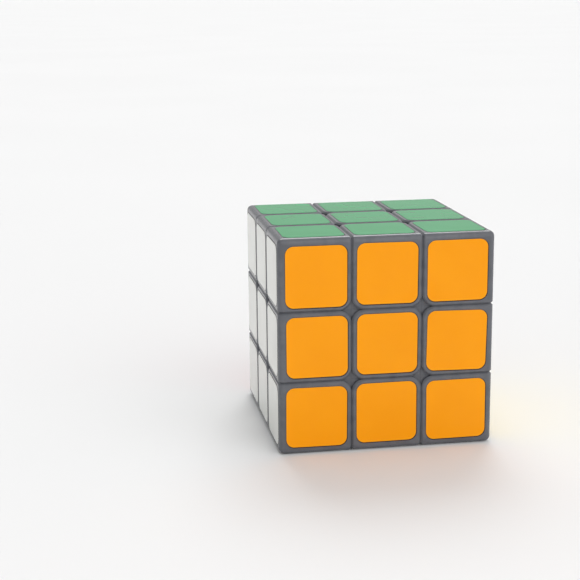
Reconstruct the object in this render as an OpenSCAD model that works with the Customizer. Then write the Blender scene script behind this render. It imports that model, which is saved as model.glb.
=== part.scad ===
// Three-by-three twisty puzzle cube.
// The origin is the middle of the core, where the three turning axes cross.
// +Z points out of the upper face, -Y out of the front face, +X out of the right face.

/* [Cube] */
// Edge length of the cube, over the plastic
cube_w = 57; // [56.6:0.1:57.6]
// Width of the middle row, from gap centre to gap centre
pitch = 18.6; // [18.4:0.1:18.8]
// Gap between neighbouring pieces
gap = 0.06; // [0.06:0.02:0.5]
// Wall of the hollow shells
wall = 1.5; // [1.3:0.1:1.7]

/* [Rounding] */
// Radius of the cube's twelve outer edges
edge_r = 1.5; // [0.9:0.1:1.6]
// Chamfer where an outer face runs into a gap
gap_c = 0.5; // [0.4:0.1:0.9]
// Radius of the four piece corners that meet at a crossing of two gaps
junction_r = 3.3; // [3:0.1:3.5]
// Depth of the star-shaped recess that they leave at such a crossing
star_d = 1.3; // [1.2:0.1:2.2]

/* [Stickers] */
// Side of a sticker
sticker_w = 16; // [15.4:0.1:16.2]
// Corner radius of a sticker
sticker_r = 2.15; // [1.6:0.05:2.6]
// Thickness of a sticker
sticker_t = 0.2; // [0.1:0.05:0.3]

/* [Feet] */
// Half width of the channel that the centres' stems stand in
channel = 6; // [5.9:0.05:6.2]
// Outer radius of the feet
foot_r = 20.6; // [20.4:0.1:20.8]
// Inner radius of the feet
foot_in_r = 15.5; // [14.5:0.1:16]
// Radius of the seat between a foot and its shell
seat_r = 23.5; // [23.3:0.1:23.7]

/* [Centres] */
// Thickness of a centre cap's plate
cap_t = 3.2; // [3:0.1:3.4]
// Depth of the collar under a cap
collar_h = 1.8; // [1.4:0.1:2]
// Radius of a centre's stem
stem_r = 5.6; // [5.4:0.05:5.65]
// Radius of the spring well in a centre
well_r = 4; // [3.8:0.05:4.1]
// Height of the well's floor above the middle of the cube
well_floor = 12; // [11.8:0.1:12.4]

/* [Screws and springs] */
// Radius of a screw's shank
shank_r = 1.5; // [1.4:0.05:1.6]
// Radius of a screw's head
head_r = 3.2; // [3:0.05:3.3]
// Height of the underside of a screw's head above the middle of the cube
head_z = 18.6; // [18.4:0.1:18.8]
// Wire diameter of a spring
wire_d = 0.7; // [0.6:0.05:0.8]
// Mean radius of a spring's coil
coil_r = 2.65; // [2.5:0.05:2.75]
// Turns of a spring
coil_turns = 4.5; // [4:0.5:5]

/* [Hidden] */
$fn = 64;
h = cube_w / 2;                 // half of the cube
c = gap / 2;                    // each piece's share of a gap
a = pitch / 2 + c;              // inner planes of the outer pieces
q = pitch / 2 - c;              // side planes of the middle pieces
ch = channel + 0.2;             // inner planes of the outer feet
cq = channel - 0.2;             // side planes of the edge feet
turn_gap = 0.4;                 // clearance between the feet and what turns over them
fit = 0.05;                     // clearance of a plug in its socket
cap_z = h - cap_t;              // underside of a cap's plate
pocket_z = foot_r + turn_gap + 1.5; // floor of the pocket under a cap
stem_z = 9;                     // inner end of a stem
arm_z = 8.8;                    // outer end of a core arm
arm_r = 3.4;                    // radius of a core arm
hub_r = 6.6;                    // radius of the core's ball
hole_z = 3;                     // bottom of a core arm's screw hole
bore_r = shank_r + 0.06;        // bore of a centre on its screw
washer_t = 0.5;                 // thickness of a washer

SLATE = [0.4, 0.41, 0.44];
INNER = [0.27, 0.275, 0.29];
STEEL = [0.72, 0.73, 0.75];
GREEN = [0.2, 0.62, 0.36];
ORANGE = [0.97, 0.6, 0.12];
WHITE = [0.93, 0.93, 0.9];
BLUE = [0.1, 0.3, 0.68];
RED = [0.76, 0.12, 0.13];
YELLOW = [0.96, 0.84, 0.16];

// Turn of each face: it brings +Z to the face's outward normal.
UP = [0, 0, 0];
DOWN = [180, 0, 0];
FRONT = [90, 0, 0];
BACK = [-90, 0, 0];
LEFT = [0, -90, 0];
RIGHT = [0, 90, 0];
FACES = [UP, DOWN, FRONT, BACK, LEFT, RIGHT];

// Rectangle from (u0, v0) to (u1, v1) with a radius of its own at each corner,
// in the order low-low, high-low, high-high, low-high. A negative radius is a chamfer.
module rounded(u0, u1, v0, v1, radii) {
    r = [for (x = radii) abs(x)];
    polygon([[u0 + r[0], v0], [u1 - r[1], v0], [u1, v0 + r[1]], [u1, v1 - r[2]],
        [u1 - r[2], v1], [u0 + r[3], v1], [u0, v1 - r[3]], [u0, v0 + r[0]]]);
    if (radii[0] > 0) translate([u0 + r[0], v0 + r[0]]) circle(r[0]);
    if (radii[1] > 0) translate([u1 - r[1], v0 + r[1]]) circle(r[1]);
    if (radii[2] > 0) translate([u1 - r[2], v1 - r[2]]) circle(r[2]);
    if (radii[3] > 0) translate([u0 + r[3], v1 - r[3]]) circle(r[3]);
}

// Prism along Z, Y or X whose outline lies in the other two axes.
module along_z(z0, z1) { translate([0, 0, z0]) linear_extrude(z1 - z0) children(); }
module along_y(y0, y1) { translate([0, y1, 0]) rotate([90, 0, 0]) linear_extrude(y1 - y0) children(); }
module along_x(x0, x1) { translate([x0, 0, 0]) rotate([90, 0, 90]) linear_extrude(x1 - x0) children(); }

// Outer form of the corner piece at +X +Y +Z.
module corner_form() {
    r = [junction_r, -gap_c, edge_r, -gap_c];
    intersection() {
        along_z(a - 1, h + 1) rounded(a, h, a, h, r);
        along_y(a - 1, h + 1) rounded(a, h, a, h, r);
        along_x(a - 1, h + 1) rounded(a, h, a, h, r);
    }
}

// Outer form of the edge piece at +X +Z.
module edge_form() {
    intersection() {
        along_y(-q - 1, q + 1) rounded(a, h, a, h, [-gap_c, -gap_c, edge_r, -gap_c]);
        along_z(a - 1, h + 1) rounded(a, h, -q, q, [junction_r, -gap_c, -gap_c, junction_r]);
        along_x(a - 1, h + 1) rounded(-q, q, a, h, [junction_r, junction_r, -gap_c, -gap_c]);
    }
}

// The same pieces below the star-shaped recesses, where their inner corners are square.
module corner_step() { translate([a, a, a]) cube(h - star_d - a); }
module edge_step() { translate([a, -q, a]) cube([h - star_d - a, 2 * q, h - star_d - a]); }
module cap_step() { translate([-q, -q, cap_z]) cube([2 * q, 2 * q, cap_t - star_d]); }

// Square outline of a centre, drawn in by d on every side.
module centre_outline(d) {
    rounded(-q + d, q - d, -q + d, q - d, [for (i = [0:3]) junction_r - d]);
}

module corner_hollow(d) { translate([a + d, a + d, a + d]) cube(h - a - wall - d); }
module edge_hollow(d) {
    translate([a + d, -q + d, a + d]) cube([h - a - wall - d, 2 * (q - d), h - a - wall - d]);
}

module corner_shell() {
    difference() {
        union() {
            corner_form();
            corner_step();
        }
        corner_hollow(wall);
        sphere(seat_r + 0.02);
    }
}

module edge_shell() {
    difference() {
        union() {
            edge_form();
            edge_step();
        }
        edge_hollow(wall);
        sphere(seat_r + 0.02);
    }
}

// Foot of the corner at +X +Y +Z: the hook inside the ball, the neck, and the plug in the shell.
module corner_foot() {
    difference() {
        intersection() {
            translate([ch, ch, ch]) cube(foot_r);
            sphere(foot_r);
        }
        sphere(foot_in_r);
    }
    difference() {
        intersection() {
            corner_form();
            sphere(seat_r);
        }
        sphere(foot_r - 1);
    }
    difference() {
        intersection() {
            corner_hollow(wall + fit);
            sphere(seat_r + 1.8);
        }
        sphere(seat_r - 1);
    }
}

// Foot of the edge at +X +Z.
module edge_foot() {
    difference() {
        intersection() {
            translate([ch, -cq, ch]) cube([foot_r, 2 * cq, foot_r]);
            sphere(foot_r);
        }
        sphere(foot_in_r);
    }
    difference() {
        intersection() {
            translate([a + 1, -cq + 0.5, a + 1]) cube([seat_r, 2 * cq - 1, seat_r]);
            sphere(seat_r - 1);
        }
        sphere(foot_r - 1);
    }
    difference() {
        intersection() {
            edge_form();
            sphere(seat_r);
        }
        sphere(foot_r + turn_gap);
    }
    difference() {
        intersection() {
            edge_hollow(wall + fit);
            sphere(seat_r + 1.8);
        }
        sphere(seat_r - 1);
    }
}

// Centre of the face at +Z: a square tray on a round stem.
module centre() {
    difference() {
        union() {
            difference() {
                along_z(foot_r * 0.6, cap_z) centre_outline(0);
                sphere(foot_r + turn_gap);
            }
            translate([0, 0, stem_z]) cylinder(r = stem_r, h = pocket_z - stem_z);
        }
        along_z(pocket_z, cap_z + 1) centre_outline(wall);
        translate([0, 0, well_floor]) cylinder(r = well_r, h = pocket_z - well_floor + 1);
        translate([0, 0, stem_z - 1]) cylinder(r = bore_r, h = well_floor - stem_z + 2);
    }
}

// Cap of the face at +Z: a plate with rounded rims and a collar that plugs into the tray.
module cap() {
    difference() {
        union() {
            intersection() {
                along_z(cap_z, h + 1) centre_outline(0);
                along_y(-q - 1, q + 1) rounded(-q, q, cap_z - 2, h, [for (i = [0:3]) -gap_c]);
                along_x(-q - 1, q + 1) rounded(-q, q, cap_z - 2, h, [for (i = [0:3]) -gap_c]);
            }
            cap_step();
            along_z(cap_z - collar_h, cap_z + 0.5) centre_outline(wall + fit);
        }
        along_z(cap_z - collar_h - 1, cap_z + 1.6) centre_outline(wall + fit + 1.1);
    }
}

// Screw along +Z: shank, pan head and cross recess.
module screw() {
    difference() {
        union() {
            translate([0, 0, hole_z]) cylinder(r = shank_r, h = head_z - hole_z + 0.5);
            translate([0, 0, head_z]) cylinder(r = head_r, h = 1);
            translate([0, 0, head_z + 1]) cylinder(r1 = head_r, r2 = head_r - 0.8, h = 0.7);
        }
        for (k = [0, 90]) rotate(k) translate([-1.8, -0.4, head_z + 0.6]) cube([3.6, 0.8, 2]);
    }
}

module washer() {
    translate([0, 0, head_z - washer_t]) difference() {
        cylinder(r = head_r + 0.3, h = washer_t);
        translate([0, 0, -1]) cylinder(r = shank_r + 0.05, h = washer_t + 2);
    }
}

// Compression spring along +Z, between the well's floor and the washer.
module spring() {
    sides = 6;
    steps = round(coil_turns * 14);
    z0 = well_floor + wire_d / 2 + 0.05;
    z1 = head_z - washer_t - wire_d / 2 - 0.05;
    ring = function(i) [for (j = [0:sides - 1])
        let (t = 360 * coil_turns * i / steps, b = 360 * j / sides, r = coil_r + wire_d / 2 * cos(b))
        [r * cos(t), r * sin(t), z0 + (z1 - z0) * i / steps + wire_d / 2 * sin(b)]];
    points = [for (i = [0:steps]) each ring(i)];
    sleeve = [for (i = [0:steps - 1], j = [0:sides - 1])
        let (n = (j + 1) % sides)
        [i * sides + j, (i + 1) * sides + j, (i + 1) * sides + n, i * sides + n]];
    first = [for (j = [0:sides - 1]) j];
    last = [for (j = [sides - 1:-1:0]) steps * sides + j];
    polyhedron(points, concat(sleeve, [first, last]), convexity = 10);
}

// One sticker on the upper face, in column i and row j counted from the middle.
module sticker(i, j) {
    translate([i * pitch, j * pitch, h]) linear_extrude(sticker_t)
        rounded(-sticker_w / 2, sticker_w / 2, -sticker_w / 2, sticker_w / 2, [for (k = [0:3]) sticker_r]);
}

// A row of stickers on a side face: row 1 is the upper one, row -1 the lower one.
module side_row(face, row, columns) {
    rotate(face) for (i = columns)
        if (face == FRONT) sticker(i, row);
        else if (face == BACK) sticker(i, -row);
        else if (face == LEFT) sticker(row, i);
        else sticker(-row, i);
}

// The eight stickers around a middle sticker.
module face_ring(face) {
    rotate(face) for (i = [-1:1], j = [-1:1]) if (i != 0 || j != 0) sticker(i, j);
}

module upper(turn) { rotate([0, 0, turn]) children(); }
module lower(turn) { rotate([0, 0, turn]) rotate([180, 0, 0]) children(); }
module middle(turn) { rotate([0, 0, turn]) rotate([90, 0, 0]) children(); }

module core() {
    color(INNER) difference() {
        union() {
            sphere(hub_r);
            for (f = FACES) rotate(f) cylinder(r = arm_r, h = arm_z);
        }
        for (f = FACES) rotate(f) translate([0, 0, hole_z]) cylinder(r = shank_r, h = arm_z);
    }
}
module tension_screws() { color(STEEL) for (f = FACES) rotate(f) screw(); }
module screw_washers() { color(STEEL) for (f = FACES) rotate(f) washer(); }
module centre_springs() { color(STEEL) for (f = FACES) rotate(f) spring(); }

module centre_up() { color(INNER) rotate(UP) centre(); }
module centre_down() { color(INNER) rotate(DOWN) centre(); }
module centre_front() { color(INNER) rotate(FRONT) centre(); }
module centre_back() { color(INNER) rotate(BACK) centre(); }
module centre_left() { color(INNER) rotate(LEFT) centre(); }
module centre_right() { color(INNER) rotate(RIGHT) centre(); }

module cap_up() { color(SLATE) rotate(UP) cap(); }
module cap_down() { color(SLATE) rotate(DOWN) cap(); }
module cap_front() { color(SLATE) rotate(FRONT) cap(); }
module cap_back() { color(SLATE) rotate(BACK) cap(); }
module cap_left() { color(SLATE) rotate(LEFT) cap(); }
module cap_right() { color(SLATE) rotate(RIGHT) cap(); }

module edge_up_right() { color(SLATE) upper(0) edge_shell(); }
module edge_up_back() { color(SLATE) upper(90) edge_shell(); }
module edge_up_left() { color(SLATE) upper(180) edge_shell(); }
module edge_up_front() { color(SLATE) upper(270) edge_shell(); }
module edge_front_right() { color(SLATE) middle(0) edge_shell(); }
module edge_back_right() { color(SLATE) middle(90) edge_shell(); }
module edge_back_left() { color(SLATE) middle(180) edge_shell(); }
module edge_front_left() { color(SLATE) middle(270) edge_shell(); }
module edge_down_right() { color(SLATE) lower(0) edge_shell(); }
module edge_down_back() { color(SLATE) lower(90) edge_shell(); }
module edge_down_left() { color(SLATE) lower(180) edge_shell(); }
module edge_down_front() { color(SLATE) lower(270) edge_shell(); }

module corner_up_back_right() { color(SLATE) upper(0) corner_shell(); }
module corner_up_back_left() { color(SLATE) upper(90) corner_shell(); }
module corner_up_front_left() { color(SLATE) upper(180) corner_shell(); }
module corner_up_front_right() { color(SLATE) upper(270) corner_shell(); }
module corner_down_front_right() { color(SLATE) lower(0) corner_shell(); }
module corner_down_back_right() { color(SLATE) lower(90) corner_shell(); }
module corner_down_back_left() { color(SLATE) lower(180) corner_shell(); }
module corner_down_front_left() { color(SLATE) lower(270) corner_shell(); }

module upper_feet() { color(INNER) for (t = [0, 90, 180, 270]) upper(t) { corner_foot(); edge_foot(); } }
module middle_feet() { color(INNER) for (t = [0, 90, 180, 270]) middle(t) edge_foot(); }
module lower_feet() { color(INNER) for (t = [0, 90, 180, 270]) lower(t) { corner_foot(); edge_foot(); } }

module upper_stickers_green() { color(GREEN) face_ring(UP); }
module upper_stickers_orange() { color(ORANGE) side_row(FRONT, 1, [-1, 0, 1]); }
module upper_stickers_yellow() { color(YELLOW) side_row(RIGHT, 1, [-1, 0, 1]); }
module upper_stickers_red() { color(RED) side_row(BACK, 1, [-1, 0, 1]); }
module upper_stickers_white() { color(WHITE) side_row(LEFT, 1, [-1, 0, 1]); }
module middle_stickers_orange() { color(ORANGE) side_row(FRONT, 0, [-1, 1]); }
module middle_stickers_yellow() { color(YELLOW) side_row(RIGHT, 0, [-1, 1]); }
module middle_stickers_red() { color(RED) side_row(BACK, 0, [-1, 1]); }
module middle_stickers_white() { color(WHITE) side_row(LEFT, 0, [-1, 1]); }
module lower_stickers_blue() { color(BLUE) face_ring(DOWN); }
module lower_stickers_orange() { color(ORANGE) side_row(FRONT, -1, [-1, 0, 1]); }
module lower_stickers_yellow() { color(YELLOW) side_row(RIGHT, -1, [-1, 0, 1]); }
module lower_stickers_red() { color(RED) side_row(BACK, -1, [-1, 0, 1]); }
module lower_stickers_white() { color(WHITE) side_row(LEFT, -1, [-1, 0, 1]); }

module cap_sticker_up() { color(GREEN) rotate(UP) sticker(0, 0); }
module cap_sticker_down() { color(BLUE) rotate(DOWN) sticker(0, 0); }
module cap_sticker_front() { color(ORANGE) rotate(FRONT) sticker(0, 0); }
module cap_sticker_back() { color(RED) rotate(BACK) sticker(0, 0); }
module cap_sticker_left() { color(WHITE) rotate(LEFT) sticker(0, 0); }
module cap_sticker_right() { color(YELLOW) rotate(RIGHT) sticker(0, 0); }

core();
tension_screws();
screw_washers();
centre_springs();
centre_up();
centre_down();
centre_front();
centre_back();
centre_left();
centre_right();
cap_up();
cap_down();
cap_front();
cap_back();
cap_left();
cap_right();
edge_up_front();
edge_up_right();
edge_up_back();
edge_up_left();
edge_front_right();
edge_back_right();
edge_back_left();
edge_front_left();
edge_down_front();
edge_down_right();
edge_down_back();
edge_down_left();
corner_up_front_right();
corner_up_back_right();
corner_up_back_left();
corner_up_front_left();
corner_down_front_right();
corner_down_back_right();
corner_down_back_left();
corner_down_front_left();
upper_feet();
middle_feet();
lower_feet();
upper_stickers_green();
upper_stickers_orange();
upper_stickers_yellow();
upper_stickers_red();
upper_stickers_white();
middle_stickers_orange();
middle_stickers_yellow();
middle_stickers_red();
middle_stickers_white();
lower_stickers_blue();
lower_stickers_orange();
lower_stickers_yellow();
lower_stickers_red();
lower_stickers_white();
cap_sticker_up();
cap_sticker_down();
cap_sticker_front();
cap_sticker_back();
cap_sticker_left();
cap_sticker_right();
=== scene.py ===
import math
import random

import bmesh
import bpy
from mathutils import Matrix, Vector


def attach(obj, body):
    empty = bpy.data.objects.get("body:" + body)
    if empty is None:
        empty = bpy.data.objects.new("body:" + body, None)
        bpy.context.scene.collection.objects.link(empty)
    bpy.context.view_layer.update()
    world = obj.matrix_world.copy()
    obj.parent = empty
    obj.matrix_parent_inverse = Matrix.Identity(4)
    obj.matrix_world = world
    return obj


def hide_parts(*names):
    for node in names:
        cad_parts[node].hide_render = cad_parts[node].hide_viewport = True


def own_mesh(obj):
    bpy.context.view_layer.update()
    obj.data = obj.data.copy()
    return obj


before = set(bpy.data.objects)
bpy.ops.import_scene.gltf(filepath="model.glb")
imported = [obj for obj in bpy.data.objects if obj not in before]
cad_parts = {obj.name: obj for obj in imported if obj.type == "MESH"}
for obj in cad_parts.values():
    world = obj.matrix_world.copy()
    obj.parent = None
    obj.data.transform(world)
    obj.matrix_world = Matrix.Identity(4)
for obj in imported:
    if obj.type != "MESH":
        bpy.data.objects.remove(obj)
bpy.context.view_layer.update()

scene = bpy.context.scene

# ---------------------------------------------------------------------------
# Dimensions in millimetres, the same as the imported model's.
# Meshes are drawn in millimetres about the middle of the cube, and scaled to metres last.
# ---------------------------------------------------------------------------
H = 28.5            # half of the cube over the plastic
PITCH = 18.6        # gap centre to gap centre
GAP = 0.02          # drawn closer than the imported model's 0.06, as the pieces lie against each other
A = PITCH / 2 + GAP / 2     # inner planes of the outer pieces
Q = PITCH / 2 - GAP / 2     # side planes of the middle pieces
WALL = 1.5
EDGE_R = 1.5        # outer edges of the cube
GAP_C = 0.5         # soft chamfer of the edges along the gaps
JUN_R = 3.3         # piece corners at a crossing of two gaps
LEDGE = 1.3         # depth of the star-shaped recess at such a crossing
LEDGE_R = 0.02      # piece corners below it
STICKER = 16.0
STICKER_R = 2.15
STICKER_T = 0.08    # thin film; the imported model's is 0.2
PAINTED_SHADOW_RING = 0.17         # width of a near-black rim round a sticker: painted shadow along the film's edge
PAINTED_SHADOW_SHIFT = 0.07     # how far that painted shadow rim is shifted from the film, to the right and down, the side away from the light
SEAT_R = 23.52      # ball that the shells sit on
TURN_R = 21.0       # ball that the centres turn over
CAP_Z = 25.3        # underside of a cap's plate
COLLAR = 1.8
POCKET_Z = 22.5
WELL_Z = 12.0
STEM_Z = 9.0
HEAD_Z = 18.6       # underside of a screw's head
WASHER_T = 0.5
FLOOR_Z = -(H + STICKER_T) * 0.001

rng = random.Random(20)

FACES = {
    "up": Matrix.Identity(4),
    "down": Matrix.Rotation(math.pi, 4, "X"),
    "front": Matrix.Rotation(math.pi / 2, 4, "X"),
    "back": Matrix.Rotation(-math.pi / 2, 4, "X"),
    "left": Matrix.Rotation(-math.pi / 2, 4, "Y"),
    "right": Matrix.Rotation(math.pi / 2, 4, "Y"),
}


def turn_z(deg):
    return Matrix.Rotation(math.radians(deg), 4, "Z")


UPPER = Matrix.Identity(4)
LOWER = Matrix.Rotation(math.pi, 4, "X")
MIDDLE = Matrix.Rotation(math.pi / 2, 4, "X")

CORNERS = {
    "corner_up_back_right": (turn_z(0) @ UPPER, "upper_layer"),
    "corner_up_back_left": (turn_z(90) @ UPPER, "upper_layer"),
    "corner_up_front_left": (turn_z(180) @ UPPER, "upper_layer"),
    "corner_up_front_right": (turn_z(270) @ UPPER, "upper_layer"),
    "corner_down_front_right": (turn_z(0) @ LOWER, "lower_layer"),
    "corner_down_back_right": (turn_z(90) @ LOWER, "lower_layer"),
    "corner_down_back_left": (turn_z(180) @ LOWER, "lower_layer"),
    "corner_down_front_left": (turn_z(270) @ LOWER, "lower_layer"),
}
EDGES = {
    "edge_up_right": (turn_z(0) @ UPPER, "upper_layer"),
    "edge_up_back": (turn_z(90) @ UPPER, "upper_layer"),
    "edge_up_left": (turn_z(180) @ UPPER, "upper_layer"),
    "edge_up_front": (turn_z(270) @ UPPER, "upper_layer"),
    "edge_front_right": (turn_z(0) @ MIDDLE, "middle_layer"),
    "edge_back_right": (turn_z(90) @ MIDDLE, "middle_layer"),
    "edge_back_left": (turn_z(180) @ MIDDLE, "middle_layer"),
    "edge_front_left": (turn_z(270) @ MIDDLE, "middle_layer"),
    "edge_down_right": (turn_z(0) @ LOWER, "lower_layer"),
    "edge_down_back": (turn_z(90) @ LOWER, "lower_layer"),
    "edge_down_left": (turn_z(180) @ LOWER, "lower_layer"),
    "edge_down_front": (turn_z(270) @ LOWER, "lower_layer"),
}


# ---------------------------------------------------------------------------
# Mesh helpers
# ---------------------------------------------------------------------------
def mesh_of(name, verts, faces):
    me = bpy.data.meshes.new(name)
    me.from_pydata([tuple(v) for v in verts], [], faces)
    bm = bmesh.new()
    bm.from_mesh(me)
    bmesh.ops.recalc_face_normals(bm, faces=bm.faces)
    bm.to_mesh(me)
    bm.free()
    return me


def temp(me):
    ob = bpy.data.objects.new("temp", me)
    scene.collection.objects.link(ob)
    return ob


def applied(ob, name):
    """Mesh of an object with its modifiers applied. The object is removed."""
    bpy.context.view_layer.update()
    dg = bpy.context.evaluated_depsgraph_get()
    me = bpy.data.meshes.new_from_object(
        ob.evaluated_get(dg), preserve_all_data_layers=True, depsgraph=dg
    )
    me.name = name
    old = ob.data
    bpy.data.objects.remove(ob)
    if old.users == 0:
        bpy.data.meshes.remove(old)
    return me


def cut(me, cutter, name):
    ob, tool = temp(me), temp(cutter)
    mod = ob.modifiers.new("cut", "BOOLEAN")
    mod.operation = "DIFFERENCE"
    mod.solver = "EXACT"
    mod.object = tool
    out = applied(ob, name)
    bpy.data.objects.remove(tool)
    return out


def joined(me, other, name):
    ob, tool = temp(me), temp(other)
    mod = ob.modifiers.new("join", "BOOLEAN")
    mod.operation = "UNION"
    mod.solver = "EXACT"
    mod.object = tool
    out = applied(ob, name)
    bpy.data.objects.remove(tool)
    return out


def bevelled(me, width, segments, name, angle=30, profile=0.5):
    ob = temp(me)
    mod = ob.modifiers.new("bevel", "BEVEL")
    mod.width = width
    mod.segments = segments
    mod.profile = profile
    mod.use_clamp_overlap = True
    mod.limit_method = "ANGLE"
    mod.angle_limit = math.radians(angle)
    return applied(ob, name)


def cleaned(me):
    """Joins doubled points and drops faces of no size that a cut can leave."""
    bm = bmesh.new()
    bm.from_mesh(me)
    bmesh.ops.remove_doubles(bm, verts=bm.verts, dist=1e-3)
    bmesh.ops.dissolve_degenerate(bm, edges=bm.edges, dist=1e-4)
    bm.normal_update()
    bm.to_mesh(me)
    bm.free()
    return me


def shaded(me, angle=32):
    """Smooth faces with hard creases, and normals that keep large flat faces flat."""
    for p in me.polygons:
        p.use_smooth = True
    me.set_sharp_from_angle(angle=math.radians(angle))
    ob = temp(me)
    mod = ob.modifiers.new("normals", "WEIGHTED_NORMAL")
    mod.mode = "FACE_AREA"
    mod.weight = 80
    mod.keep_sharp = True
    return applied(ob, me.name + "_smooth")


def worn(me):
    """Point attribute 'wear': 1 on the rounded edges, fading to 0 a little way into the flat faces."""
    layer = me.attributes.get("wear_and_rim_highlight") or me.attributes.new("wear_and_rim_highlight", "FLOAT", "POINT")
    bm = bmesh.new()
    bm.from_mesh(me)
    bm.normal_update()
    for v in bm.verts:
        spread = 0.0
        for f in v.link_faces:
            spread = max(spread, 1.0 - max(abs(c) for c in f.normal))
        layer.data[v.index].value = min(1.0, spread / 0.12)
    bm.free()
    return me


def placed(me, matrix, name):
    """Copy of a mesh in millimetres, turned into place and scaled to metres."""
    out = me.copy()
    out.name = name
    out.transform(Matrix.Scale(0.001, 4) @ matrix)
    return out


def piece(name, me, body, slot, material, *nodes):
    ob = bpy.data.objects.new(name, me)
    scene.collection.objects.link(ob)
    me.materials.clear()
    me.materials.append(material)
    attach(ob, body)
    if nodes:
        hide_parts(*nodes)
    return ob


def box_mesh(name, lo, hi):
    verts = [(x, y, z) for x in (lo[0], hi[0]) for y in (lo[1], hi[1]) for z in (lo[2], hi[2])]
    faces = [(0, 1, 3, 2), (4, 6, 7, 5), (0, 4, 5, 1), (2, 3, 7, 6), (0, 2, 6, 4), (1, 5, 7, 3)]
    return mesh_of(name, verts, faces)


def ball_mesh(name, radius, across=160, rows=96):
    """Ball about the middle of the cube, its poles turned away from every face."""
    me = bpy.data.meshes.new(name)
    bm = bmesh.new()
    bmesh.ops.create_uvsphere(bm, u_segments=across, v_segments=rows, radius=radius)
    bm.to_mesh(me)
    bm.free()
    me.transform(Matrix.Rotation(math.radians(180), 4, Vector((1, -1, 0.4)).normalized()))
    return me


SOFT = 0.27         # profile between a straight chamfer (0.25) and a round one (0.5)
POWER = math.log(2) / -math.log(math.sqrt(SOFT))


def soft_chamfer(steps):
    """Points of the same profile from the outer face (0, 0) to the side face (1, 1): share across, share down."""
    out = []
    for i in range(steps + 1):
        t = math.radians(90) * i / steps
        out.append((math.sin(t) ** (2 / POWER), 1 - math.cos(t) ** (2 / POWER)))
    return out


# Square rings with round corners, all with the same number of points, so that they can be
# joined to each other and to circles.
ARC = 8
SIDE = 6


def square_ring(s, r, z, steps=ARC, side=SIDE):
    r = max(r, 0.02)
    pts = []
    for k in range(4):
        a0 = math.radians(90 * k)
        cx = (s - r) * (1 if k in (0, 3) else -1)
        cy = (s - r) * (1 if k in (0, 1) else -1)
        arc = [
            (cx + r * math.cos(a0 + math.radians(90) * i / steps), cy + r * math.sin(a0 + math.radians(90) * i / steps))
            for i in range(steps + 1)
        ]
        pts += arc
        k2 = (k + 1) % 4
        nx = (s - r) * (1 if k2 in (0, 3) else -1) + r * math.cos(a0 + math.radians(90))
        ny = (s - r) * (1 if k2 in (0, 1) else -1) + r * math.sin(a0 + math.radians(90))
        for i in range(1, side):
            t = i / side
            pts.append((arc[-1][0] + (nx - arc[-1][0]) * t, arc[-1][1] + (ny - arc[-1][1]) * t))
    return [(x, y, z) for x, y in pts]


RING = square_ring(Q, JUN_R, 0)
RING_ANGLES = [math.atan2(y, x) for x, y, _ in RING]


def round_ring(r, z):
    return [(r * math.cos(t), r * math.sin(t), z) for t in RING_ANGLES]


def loft(name, rings, closed=False):
    n = len(rings[0])
    verts = [p for ring in rings for p in ring]
    faces = []
    last = len(rings) if closed else len(rings) - 1
    for i in range(last):
        j = (i + 1) % len(rings)
        for k in range(n):
            m = (k + 1) % n
            faces.append((i * n + k, i * n + m, j * n + m, j * n + k))
    if not closed:
        faces.append(tuple(range(n))[::-1])
        faces.append(tuple((len(rings) - 1) * n + k for k in range(n)))
    return mesh_of(name, verts, faces)


def lathe(name, profile, sides=64, closed=False):
    rings = [
        [(r * math.cos(2 * math.pi * k / sides), r * math.sin(2 * math.pi * k / sides), z) for k in range(sides)]
        for r, z in profile
    ]
    return loft(name, rings, closed)


# ---------------------------------------------------------------------------
# Corner and edge shells
# ---------------------------------------------------------------------------
def shell(name, lo, hi, outer, junctions):
    """Hollow moulded shell. outer: axes whose high side is an outer face of the cube.
    junctions: test of an edge of the plain block that is rounded to the large radius."""
    me = box_mesh(name, lo, hi)
    bm = bmesh.new()
    bm.from_mesh(me)

    def round_off(picked, radius, segments):
        bmesh.ops.bevel(
            bm, geom=picked, offset=radius, offset_type="OFFSET", segments=segments, profile=0.5, affect="EDGES",
            clamp_overlap=False,
        )

    def outer_edge(e):
        mid = (e.verts[0].co + e.verts[1].co) / 2
        return sum(1 for ax in outer if abs(mid[ax] - H) < 1e-3) == 2

    round_off([e for e in bm.edges if outer_edge(e)], EDGE_R, 8)
    round_off([e for e in bm.edges if junctions(e.verts[0].co, e.verts[1].co)], JUN_R, 12)
    bm.to_mesh(me)
    bm.free()
    # What is still sharp is the loop where the outer faces run into the gaps.
    me = bevelled(me, GAP_C, 6, name, angle=60, profile=SOFT)
    top = [hi[i] - (LEDGE if i in outer else 0.0) for i in range(3)]
    step = bevelled(box_mesh("step", lo, top), LEDGE_R, 3, "step")
    me = joined(me, step, name)
    me = cut(me, ball_mesh("seat", SEAT_R), name)
    low = [lo[i] + WALL for i in range(3)]
    high = [hi[i] - WALL for i in range(3)]
    hollow = bevelled(box_mesh("hollow", low, high), 0.5, 3, "hollow")
    me = cut(me, hollow, name)
    return worn(shaded(cleaned(me)))


def corner_junction(p, r):
    mid = (p + r) / 2
    return sum(1 for c in mid if abs(c - A) < 1e-3) == 2


def edge_junction(p, r):
    mid = (p + r) / 2
    return abs(abs(mid.y) - Q) < 1e-3 and (abs(mid.x - A) < 1e-3 or abs(mid.z - A) < 1e-3)


corner_me = shell("corner_shell", (A, A, A), (H, H, H), (0, 1, 2), corner_junction)
edge_me = shell("edge_shell", (A, -Q, A), (H, Q, H), (0, 2), edge_junction)


# ---------------------------------------------------------------------------
# Caps and centres
# ---------------------------------------------------------------------------
def inset(d, z):
    """Ring of a centre's square outline drawn in by d."""
    return square_ring(Q - d, JUN_R - d, z)


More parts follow.
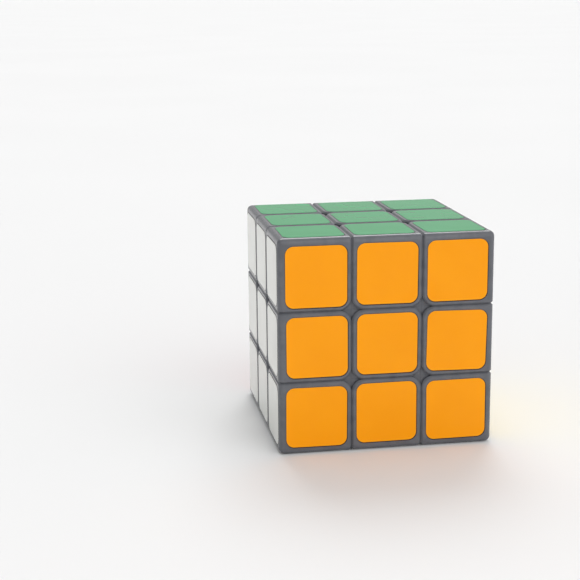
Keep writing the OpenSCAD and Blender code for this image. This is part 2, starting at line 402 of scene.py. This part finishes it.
def cap_mesh():
    rings = [inset(GAP_C + 2.0, H)]
    for across, down in soft_chamfer(6):
        rings.append(inset(GAP_C * (1 - across), H - GAP_C * down))
    # Below the recess the plate's corners are nearly square.
    z = H - LEDGE
    rings += [inset(0.0, z), square_ring(Q - LEDGE_R, LEDGE_R, z), square_ring(Q, LEDGE_R, z - LEDGE_R)]
    rings += [square_ring(Q, LEDGE_R, CAP_Z + 0.1), square_ring(Q - 0.1, LEDGE_R, CAP_Z)]
    c = WALL + 0.05
    rings += [inset(c, CAP_Z), inset(c, CAP_Z - COLLAR + 0.35), inset(c + 0.12, CAP_Z - COLLAR + 0.08)]
    rings += [inset(c + 0.3, CAP_Z - COLLAR), inset(c + 0.9, CAP_Z - COLLAR), inset(c + 1.1, CAP_Z - COLLAR + 0.2)]
    rings += [inset(c + 1.1, CAP_Z + 1.3), inset(c + 1.2, CAP_Z + 1.52), inset(c + 1.4, CAP_Z + 1.6)]
    return worn(shaded(loft("cap", rings)))


def centre_mesh():
    rings = [
        round_ring(1.81, STEM_Z), round_ring(1.56, STEM_Z + 0.25), round_ring(1.56, WELL_Z - 0.2),
        round_ring(1.76, WELL_Z), round_ring(3.7, WELL_Z), round_ring(3.9, WELL_Z + 0.09),
        round_ring(4.0, WELL_Z + 0.3), round_ring(4.0, POCKET_Z - 0.25), round_ring(4.07, POCKET_Z - 0.07),
        round_ring(4.25, POCKET_Z),
    ]
    rings += [
        inset(WALL + 0.35, POCKET_Z), inset(WALL + 0.1, POCKET_Z + 0.1), inset(WALL, POCKET_Z + 0.35),
        inset(WALL, CAP_Z - 0.25), inset(WALL - 0.07, CAP_Z - 0.07), inset(WALL - 0.25, CAP_Z),
        inset(0.1, CAP_Z), inset(0.0, CAP_Z - 0.1),
    ]

    def on_ball(x, y, lift=0.0):
        return math.sqrt(TURN_R ** 2 - x * x - y * y) + lift

    # The outer wall runs down to the ball that the tray turns over.
    rings.append([(x, y, on_ball(x, y, 0.15)) for x, y, _ in inset(0.0, 0)])
    square, circle = inset(0.1, 0), round_ring(6.1, 0)
    rings.append([(x, y, on_ball(x, y)) for x, y, _ in square])
    steps = 7
    for i in range(1, steps + 1):
        t = i / steps
        row = []
        for (x0, y0, _), (x1, y1, _) in zip(square, circle):
            x, y = x0 + (x1 - x0) * t, y0 + (y1 - y0) * t
            row.append((x, y, on_ball(x, y)))
        rings.append(row)
    z_stem = math.sqrt(TURN_R ** 2 - 5.6 ** 2)
    rings += [round_ring(5.75, z_stem - 0.12), round_ring(5.6, z_stem - 0.4)]
    rings += [round_ring(5.6, STEM_Z + 0.4), round_ring(5.5, STEM_Z + 0.12), round_ring(5.2, STEM_Z)]
    return worn(shaded(loft("centre", rings, closed=True)))


cap_me = cap_mesh()
centre_me = centre_mesh()


# ---------------------------------------------------------------------------
# Screws, washers and springs
# ---------------------------------------------------------------------------
def screw_mesh():
    sides = 48
    rows = []

    def row(r, z):
        rows.append([(r * math.cos(2 * math.pi * k / sides), r * math.sin(2 * math.pi * k / sides), z) for k in range(sides)])

    row(0.9, 3.0)
    # Threaded end: a ridge that winds up the shank, cut into its radius.
    pitch, z0, z1 = 0.7, 3.15, 9.4
    count = int((z1 - z0) / 0.1)
    for i in range(count + 1):
        z = z0 + (z1 - z0) * i / count
        fade = min(1.0, (z - z0) / 0.7, (z1 - z) / 0.7)
        pts = []
        for k in range(sides):
            t = 2 * math.pi * k / sides
            phase = (z / pitch - t / (2 * math.pi)) % 1.0
            ridge = max(0.0, 1.0 - abs(phase - 0.5) / 0.36)
            r = 1.5 - 0.26 * fade * (1.0 - ridge) - 0.35 * max(0.0, 1.0 - (z - z0) / 0.5)
            pts.append((r * math.cos(t), r * math.sin(t), z))
        rows.append(pts)
    row(1.5, 9.6)
    row(1.5, HEAD_Z - 0.12)
    row(1.62, HEAD_Z)
    row(3.02, HEAD_Z)
    row(3.14, HEAD_Z + 0.05)
    row(3.2, HEAD_Z + 0.18)
    row(3.2, HEAD_Z + 0.72)
    for i in range(1, 10):
        t = math.radians(90) * i / 9
        row(1.9 + 1.3 * math.cos(t), HEAD_Z + 0.72 + 0.98 * math.sin(t))
    row(1.2, HEAD_Z + 1.73)
    me = loft("screw", rows)

    # Cross recess, wide at the top and tapered towards its floor.
    for turn in (0, 90):
        top, low = HEAD_Z + 2.2, HEAD_Z + 0.6
        verts = [
            (-1.35, -0.26, low), (1.35, -0.26, low), (1.35, 0.26, low), (-1.35, 0.26, low),
            (-2.0, -0.45, top), (2.0, -0.45, top), (2.0, 0.45, top), (-2.0, 0.45, top),
        ]
        faces = [(3, 2, 1, 0), (4, 5, 6, 7), (0, 1, 5, 4), (1, 2, 6, 5), (2, 3, 7, 6), (3, 0, 4, 7)]
        bar = mesh_of("bar", verts, faces)
        bar.transform(turn_z(turn))
        me = cut(me, bar, "screw")
    return worn(shaded(cleaned(me), 35))


def washer_mesh():
    r0, r1, z0, z1, c = 1.55, 3.5, HEAD_Z - WASHER_T, HEAD_Z, 0.09
    profile = [
        (r0, z0 + c), (r0, z1 - c), (r0 + 0.03, z1 - 0.03), (r0 + c, z1), (r1 - c, z1), (r1 - 0.03, z1 - 0.03),
        (r1, z1 - c), (r1, z0 + c), (r1 - 0.03, z0 + 0.03), (r1 - c, z0), (r0 + c, z0), (r0 + 0.03, z0 + 0.03),
    ]
    return worn(shaded(lathe("washer", profile, 72, closed=True), 35))


def spring_mesh():
    """Compression spring with one closed coil, ground flat, at either end."""
    wire, coil, turns, sides, per = 0.35, 2.65, 6.0, 12, 40
    z0, z1 = WELL_Z + 0.04, HEAD_Z - WASHER_T - 0.04
    low, high = z0 + 0.3, z1 - 0.3
    dead = 1.0
    rise = (high - low - 2 * dead * 0.66) / (turns - 2 * dead)
    steps = int(turns * per)
    verts, faces = [], []
    for i in range(steps + 1):
        n = turns * i / steps
        if n < dead:
            z, slope = low + 0.66 * n, 0.66
        elif n > turns - dead:
            z, slope = high - 0.66 * (turns - n), 0.66
        else:
            z, slope = low + 0.66 * dead + rise * (n - dead), rise
        t = 2 * math.pi * n
        out = Vector((math.cos(t), math.sin(t), 0))
        along = Vector((-math.sin(t) * coil, math.cos(t) * coil, slope / (2 * math.pi))).normalized()
        up = along.cross(out).normalized() * -1
        for j in range(sides):
            b = 2 * math.pi * j / sides
            p = out * coil + Vector((0, 0, z)) + out * (wire * math.cos(b)) + up * (wire * math.sin(b))
            p.z = min(max(p.z, z0), z1)
            verts.append(p)
    for i in range(steps):
        for j in range(sides):
            k = (j + 1) % sides
            faces.append((i * sides + j, (i + 1) * sides + j, (i + 1) * sides + k, i * sides + k))
    faces.append(tuple(range(sides)))
    faces.append(tuple(steps * sides + j for j in reversed(range(sides))))
    return worn(shaded(mesh_of("spring", verts, faces), 50))


screw_me = screw_mesh()
washer_me = washer_mesh()
spring_me = spring_mesh()


# ---------------------------------------------------------------------------
# Stickers
# ---------------------------------------------------------------------------
def sticker_mesh():
    s, r, t = STICKER / 2, STICKER_R, STICKER_T

    def ring(d, z, off=0.0):
        return [(x + off, y - off, h) for x, y, h in square_ring(s - d, r - d, z, steps=14, side=1)]

    # The two outer rings lie flat round the film: a near-black rim of painted shadow, shifted to the right and down.
    rings = [
        ring(-PAINTED_SHADOW_RING, 0.0, PAINTED_SHADOW_SHIFT), ring(-PAINTED_SHADOW_RING, 0.012, PAINTED_SHADOW_SHIFT), ring(0.0, 0.02),
        ring(0.0, t - 0.05), ring(0.015, t - 0.018), ring(0.05, t - 0.004), ring(0.13, t),
    ]
    me = loft("sticker", rings)
    n = len(rings[0])
    # Per-ring values: the first mark a painted highlight on the film's wall and bevel, the second mark the painted
    # shadow rim round it.
    for key, values in (("wear_and_rim_highlight", (0.0, 0.0, 0.0, 1.0, 1.0, 0.55, 0.0)), ("painted_shadow", (1.0, 1.0, 1.0, 0.0, 0.0, 0.0, 0.0))):
        layer = me.attributes.new(key, "FLOAT", "POINT")
        for i in range(len(me.vertices)):
            layer.data[i].value = values[i // n]
    return shaded(me, 40)


sticker_me = sticker_mesh()


# How the front stickers lie on their squares: offsets in millimetres and a turn in degrees.
FRONT_LAY = {
    (-1, 1): (0.0, -0.1, -0.1), (0, 1): (-0.05, 0.05, -0.4), (1, 1): (-0.1, 0.05, 0.0),
    (-1, 0): (0.15, 0.05, 0.1), (0, 0): (0.0, 0.1, -0.2), (1, 0): (-0.05, 0.0, -1.0),
    (-1, -1): (-0.05, -0.05, -0.4), (0, -1): (-0.1, 0.2, 0.2), (1, -1): (0.0, -0.05, 0.3),
}


def laid(i, j, face):
    """Place of one sticker, laid by hand: a little off its square's middle and a little turned."""
    dx, dy, lean = rng.uniform(-0.1, 0.1), rng.uniform(-0.1, 0.1), rng.uniform(-0.5, 0.5)
    if face == "front":
        dx, dy, lean = FRONT_LAY[(i, j)]
    spot = Matrix.Translation((i * PITCH + dx, j * PITCH + dy, H))
    return FACES[face] @ spot @ Matrix.Rotation(math.radians(lean), 4, "Z")


def cell(face, column, row):
    """Sticker column and row on a side face, counted from the middle, row 1 at the top."""
    return {"front": (column, row), "back": (column, -row), "left": (row, column), "right": (-row, column)}[face]


def sticker_group(name, face, cells):
    bm = bmesh.new()
    for i, j in cells:
        part = placed(sticker_me, laid(i, j, face), "one")
        bm.from_mesh(part)
        bpy.data.meshes.remove(part)
    me = bpy.data.meshes.new(name)
    bm.to_mesh(me)
    bm.free()
    return shaded(me, 40)


# ---------------------------------------------------------------------------
# Materials
# ---------------------------------------------------------------------------
class Nodes:
    def __init__(self, name):
        self.mat = bpy.data.materials.new(name)
        self.mat.use_nodes = True
        self.tree = self.mat.node_tree
        self.tree.nodes.clear()
        self.out = self.tree.nodes.new("ShaderNodeOutputMaterial")
        self.bsdf = self.tree.nodes.new("ShaderNodeBsdfPrincipled")
        self.link(self.bsdf.outputs["BSDF"], self.out.inputs["Surface"])
        self.place = self.tree.nodes.new("ShaderNodeTexCoord").outputs["Object"]

    def link(self, a, b):
        self.tree.links.new(a, b)

    def noise(self, size_mm, detail=2.0, rough=0.5, stretch=None):
        """Noise whose features are about size_mm across."""
        node = self.tree.nodes.new("ShaderNodeTexNoise")
        node.inputs["Scale"].default_value = 1000.0 / size_mm
        node.inputs["Detail"].default_value = detail
        node.inputs["Roughness"].default_value = rough
        src = self.place
        if stretch:
            mapping = self.tree.nodes.new("ShaderNodeMapping")
            mapping.inputs["Scale"].default_value = stretch[0]
            mapping.inputs["Rotation"].default_value = [math.radians(a) for a in stretch[1]]
            self.link(src, mapping.inputs["Vector"])
            src = mapping.outputs["Vector"]
        self.link(src, node.inputs["Vector"])
        return node.outputs["Fac"]

    def cells(self, size_mm):
        node = self.tree.nodes.new("ShaderNodeTexVoronoi")
        node.feature = "F1"
        node.inputs["Scale"].default_value = 1000.0 / size_mm
        self.link(self.place, node.inputs["Vector"])
        return node.outputs["Distance"]

    def attribute(self, name):
        node = self.tree.nodes.new("ShaderNodeAttribute")
        node.attribute_name = name
        return node.outputs["Fac"]

    def ramp(self, fac, lo, hi, a, b):
        """Maps fac from lo..hi to a..b."""
        node = self.tree.nodes.new("ShaderNodeMapRange")
        node.interpolation_type = "SMOOTHSTEP"
        node.inputs["From Min"].default_value = lo
        node.inputs["From Max"].default_value = hi
        node.inputs["To Min"].default_value = a
        node.inputs["To Max"].default_value = b
        self.link(fac, node.inputs["Value"])
        return node.outputs["Result"]

    def math(self, op, a, b):
        node = self.tree.nodes.new("ShaderNodeMath")
        node.operation = op
        for sock, v in zip(node.inputs, (a, b)):
            if isinstance(v, (int, float)):
                sock.default_value = v
            else:
                self.link(v, sock)
        return node.outputs[0]

    def mix(self, fac, a, b):
        node = self.tree.nodes.new("ShaderNodeMix")
        node.data_type = "RGBA"
        self.link(fac, node.inputs[0])
        for sock, v in ((node.inputs[6], a), (node.inputs[7], b)):
            if isinstance(v, tuple):
                sock.default_value = (*v, 1.0)
            else:
                self.link(v, sock)
        return node.outputs[2]

    def bump(self, height, strength, depth_mm, under=None):
        node = self.tree.nodes.new("ShaderNodeBump")
        node.inputs["Strength"].default_value = strength
        node.inputs["Distance"].default_value = depth_mm * 0.001
        self.link(height, node.inputs["Height"])
        if under is not None:
            self.link(under, node.inputs["Normal"])
        return node.outputs["Normal"]

    def set(self, **values):
        for key, v in values.items():
            sock = self.bsdf.inputs[key.replace("_", " ")]
            if isinstance(v, (int, float)):
                sock.default_value = v
            elif isinstance(v, tuple):
                sock.default_value = (*v, 1.0)
            else:
                self.link(v, sock)
        return self.mat


def shade(c, k):
    return tuple(min(1.0, x * k) for x in c)


def moulded_plastic(name, colour, worn_colour, rough, grain_mm=0.16, grain=0.10):
    """Moulded plastic: fine spark-eroded grain, faint flow marks, edges polished by handling."""
    n = Nodes(name)
    flow = n.noise(9.0, 3.0, 0.55)
    fine = n.noise(grain_mm, 2.0, 0.6)
    smear = n.noise(2.6, 3.0, 0.55)
    wear_and_rim_highlight = n.math("MULTIPLY", n.attribute("wear_and_rim_highlight"), n.ramp(smear, 0.36, 0.62, 0.25, 1.0))
    body = n.mix(n.ramp(flow, 0.3, 0.7, 0.0, 1.0), shade(colour, 0.93), shade(colour, 1.07))
    body = n.mix(wear_and_rim_highlight, body, worn_colour)
    gloss = n.math("SUBTRACT", n.ramp(smear, 0.3, 0.7, rough - 0.03, rough + 0.04), n.math("MULTIPLY", wear_and_rim_highlight, 0.06))
    normal = n.bump(flow, 0.10, 0.05, n.bump(fine, grain, 0.02))
    return n.set(Base_Color=body, Roughness=gloss, Normal=normal, IOR=1.53, Specular_IOR_Level=0.34)


def vinyl(name, colour, deep, edge):
    """Calendered vinyl film: nearly flat, faint orange peel, soft smudges, a paler cut edge that is a painted
    highlight, and a near-black rim round it that is painted shadow.
    """
    n = Nodes(name)
    tone = n.noise(14.0, 2.0, 0.5)
    peel = n.noise(0.9, 2.0, 0.45)
    film = n.noise(0.12, 2.0, 0.6)
    smudge = n.noise(6.0, 2.0, 0.5, stretch=((1.0, 0.55, 0.8), (20, 35, 15)))
    body = n.mix(n.ramp(tone, 0.32, 0.68, 0.0, 1.0), colour, deep)
    # Painted highlight: the film's wall and bevel are mixed towards the paler edge colour.
    body = n.mix(n.math("MULTIPLY", n.attribute("wear_and_rim_highlight"), 0.55), body, edge)
    # Painted shadow: the flat rim round the film is coloured near black.
    painted_shadow = n.attribute("painted_shadow")
    body = n.mix(painted_shadow, body, (0.016, 0.015, 0.014))
    gloss = n.math("ADD", n.ramp(smudge, 0.3, 0.7, 0.16, 0.20), n.math("MULTIPLY", painted_shadow, 0.45))
    normal = n.bump(peel, 0.05, 0.006, n.bump(film, 0.04, 0.0012))
    return n.set(Base_Color=body, Roughness=gloss, Normal=normal, IOR=1.5, Specular_IOR_Level=0.18)


def metal(name, colour, dull, rough, grain):
    n = Nodes(name)
    cloud = n.noise(1.3, 4.0, 0.6)
    lines = n.noise(0.5, 3.0, 0.6, stretch=(grain, (0, 0, 0)))
    pits = n.cells(0.22)
    body = n.mix(n.ramp(cloud, 0.34, 0.66, 0.0, 1.0), colour, dull)
    gloss = n.math("ADD", n.ramp(cloud, 0.3, 0.7, rough - 0.05, rough + 0.08), n.math("MULTIPLY", lines, 0.06))
    normal = n.bump(lines, 0.10, 0.012, n.bump(pits, 0.06, 0.01))
    return n.set(Base_Color=body, Roughness=gloss, Normal=normal, Metallic=1.0)


SHELL = moulded_plastic("shell_plastic", (0.100, 0.104, 0.118), (0.124, 0.128, 0.143), 0.25)
INNER = moulded_plastic("inner_plastic", (0.066, 0.068, 0.075), (0.085, 0.087, 0.095), 0.47, 0.22, 0.14)
STEEL = metal("steel", (0.66, 0.66, 0.64), (0.50, 0.50, 0.50), 0.30, (1.0, 1.0, 8.0))
WIRE = metal("spring_steel", (0.62, 0.62, 0.62), (0.42, 0.42, 0.44), 0.26, (6.0, 6.0, 1.0))
# The third colour of each film is its paler cut edge, a painted highlight.
FILM = {
    "orange": vinyl("sticker_orange", (0.93, 0.334, 0.002), (0.915, 0.321, 0.001), (0.96, 0.43, 0.05)),
    "green": vinyl("sticker_green", (0.030, 0.340, 0.115), (0.026, 0.325, 0.105), (0.10, 0.44, 0.20)),
    "white": vinyl("sticker_white", (0.78, 0.785, 0.745), (0.765, 0.77, 0.73), (0.83, 0.83, 0.80)),
    "blue": vinyl("sticker_blue", (0.010, 0.070, 0.400), (0.009, 0.064, 0.380), (0.06, 0.15, 0.52)),
    "red": vinyl("sticker_red", (0.560, 0.016, 0.020), (0.535, 0.014, 0.018), (0.66, 0.08, 0.08)),
    "yellow": vinyl("sticker_yellow", (0.880, 0.620, 0.016), (0.865, 0.600, 0.014), (0.93, 0.72, 0.12)),
}
FACE_COLOUR = {"up": "green", "down": "blue", "front": "orange", "back": "red", "left": "white", "right": "yellow"}


# ---------------------------------------------------------------------------
# Pieces
# ---------------------------------------------------------------------------
for node, (matrix, body) in CORNERS.items():
    piece(node + "_shell", placed(corner_me, matrix, node), body, "shell_plastic", SHELL, node)
for node, (matrix, body) in EDGES.items():
    piece(node + "_shell", placed(edge_me, matrix, node), body, "shell_plastic", SHELL, node)

for face, matrix in FACES.items():
    piece(f"cap_{face}_plate", placed(cap_me, matrix, f"cap_{face}"), f"cap_{face}", "shell_plastic", SHELL, f"cap_{face}")
    piece(f"centre_{face}_tray", placed(centre_me, matrix, f"centre_{face}"), f"centre_{face}", "inner_plastic", INNER, f"centre_{face}")
    piece(f"tension_screw_{face}", placed(screw_me, matrix, f"screw_{face}"), "middle_layer", "steel", STEEL, "tension_screws")
    piece(f"screw_washer_{face}", placed(washer_me, matrix, f"washer_{face}"), "middle_layer", "steel", STEEL, "screw_washers")
    coil = piece(f"centre_spring_{face}", placed(spring_me, matrix, f"spring_{face}"), "middle_layer", "spring_steel", WIRE, "centre_springs")
    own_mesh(coil)
    colour = FACE_COLOUR[face]
    piece(
        f"cap_{face}_sticker", sticker_group(f"cap_sticker_{face}", face, [(0, 0)]), f"cap_{face}",
        f"sticker_{colour}", FILM[colour], f"cap_sticker_{face}",
    )

AROUND = [(i, j) for i in (-1, 0, 1) for j in (-1, 0, 1) if (i, j) != (0, 0)]
for layer, row, columns in (("upper", 1, (-1, 0, 1)), ("middle", 0, (-1, 1)), ("lower", -1, (-1, 0, 1))):
    for face in ("front", "right", "back", "left"):
        colour = FACE_COLOUR[face]
        node = f"{layer}_stickers_{colour}"
        me = sticker_group(node, face, [cell(face, c, row) for c in columns])
        piece(f"{layer}_{face}_stickers", me, f"{layer}_layer", f"sticker_{colour}", FILM[colour], node)
piece("upper_top_stickers", sticker_group("top", "up", AROUND), "upper_layer", "sticker_green", FILM["green"], "upper_stickers_green")
piece("lower_bottom_stickers", sticker_group("bottom", "down", AROUND), "lower_layer", "sticker_blue", FILM["blue"], "lower_stickers_blue")

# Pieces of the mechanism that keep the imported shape.
for node in ("core", "upper_feet", "middle_feet", "lower_feet"):
    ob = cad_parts[node]
    ob.data.materials.clear()
    ob.data.materials.append(INNER)


# ---------------------------------------------------------------------------
# Floor, light and camera
# ---------------------------------------------------------------------------
def studio_floor():
    me = mesh_of("floor", [(-60, -60, FLOOR_Z), (60, -60, FLOOR_Z), (60, 60, FLOOR_Z), (-60, 60, FLOOR_Z)], [(0, 1, 2, 3)])
    ob = bpy.data.objects.new("floor", me)
    scene.collection.objects.link(ob)
    n = Nodes("floor")
    tone = n.noise(260.0, 2.0, 0.5)
    me.materials.append(
        n.set(Base_Color=n.mix(n.ramp(tone, 0.3, 0.7, 0.0, 1.0), (0.775, 0.775, 0.775), (0.785, 0.785, 0.785)), Roughness=0.9)
    )


def studio_light():
    """White room, brighter to the right, with a softbox above and behind and a broad fill in front."""
    world = bpy.data.worlds.new("studio")
    scene.world = world
    world.use_nodes = True
    tree = world.node_tree
    way = tree.nodes.new("ShaderNodeTexCoord").outputs["Generated"]

    def towards(x, y, z):
        node = tree.nodes.new("ShaderNodeVectorMath")
        node.operation = "DOT_PRODUCT"
        node.inputs[1].default_value = (x, y, z)
        tree.links.new(way, node.inputs[0])
        return node.outputs["Value"]

    def lobe(direction, inner, outer, level):
        node = tree.nodes.new("ShaderNodeMapRange")
        node.interpolation_type = "SMOOTHSTEP"
        node.inputs["From Min"].default_value = math.cos(math.radians(outer))
        node.inputs["From Max"].default_value = math.cos(math.radians(inner))
        node.inputs["To Max"].default_value = level
        tree.links.new(towards(*Vector(direction).normalized()), node.inputs["Value"])
        return node.outputs["Result"]

    def sum_of(op, a, b):
        node = tree.nodes.new("ShaderNodeMath")
        node.operation = op
        for sock, v in zip(node.inputs, (a, b)):
            if isinstance(v, float):
                sock.default_value = v
            else:
                tree.links.new(v, sock)
        return node.outputs[0]

    def haze(low, high):
        """1 along the floor's far edge, fading to 0 a little above it."""
        node = tree.nodes.new("ShaderNodeMapRange")
        node.interpolation_type = "SMOOTHSTEP"
        node.inputs["From Min"].default_value = low
        node.inputs["From Max"].default_value = high
        node.inputs["To Min"].default_value = 1.0
        node.inputs["To Max"].default_value = 0.0
        tree.links.new(towards(0.0, 0.0, 1.0), node.inputs["Value"])
        return node.outputs["Result"]

    level = sum_of("ADD", towards(0.28, -0.20, 0.0), 0.72)
    level = sum_of("ADD", level, sum_of("MULTIPLY", haze(0.01, 0.13), sum_of("SUBTRACT", 0.93, level)))
    level = sum_of("ADD", level, lobe((0.10, 0.66, 0.74), 10, 22, 5.6))
    level = sum_of("ADD", level, lobe((0.35, -0.85, 0.40), 20, 45, 0.8))
    back = tree.nodes["Background"]
    back.inputs["Color"].default_value = (1.0, 1.0, 1.0, 1.0)
    tree.links.new(level, back.inputs["Strength"])


studio_floor()
studio_light()

scene.view_settings.view_transform = "Standard"
scene.view_settings.look = "None"

forward = Vector((0.15988, 0.96245, -0.21939)).normalized()
right = Vector((0.98611, -0.16585, -0.00893))
right = (right - forward * right.dot(forward)).normalized()
up = right.cross(forward).normalized()
lens = bpy.data.cameras.new("camera")
lens.lens = 83.343
lens.sensor_width = 36.0
lens.clip_start = 0.01
lens.clip_end = 200.0
camera = bpy.data.objects.new("camera", lens)
scene.collection.objects.link(camera)
camera.matrix_world = Matrix((
    (right.x, up.x, -forward.x, -0.079709),
    (right.y, up.y, -forward.y, -0.355540),
    (right.z, up.z, -forward.z, 0.089964),
    (0, 0, 0, 1),
))
scene.camera = camera
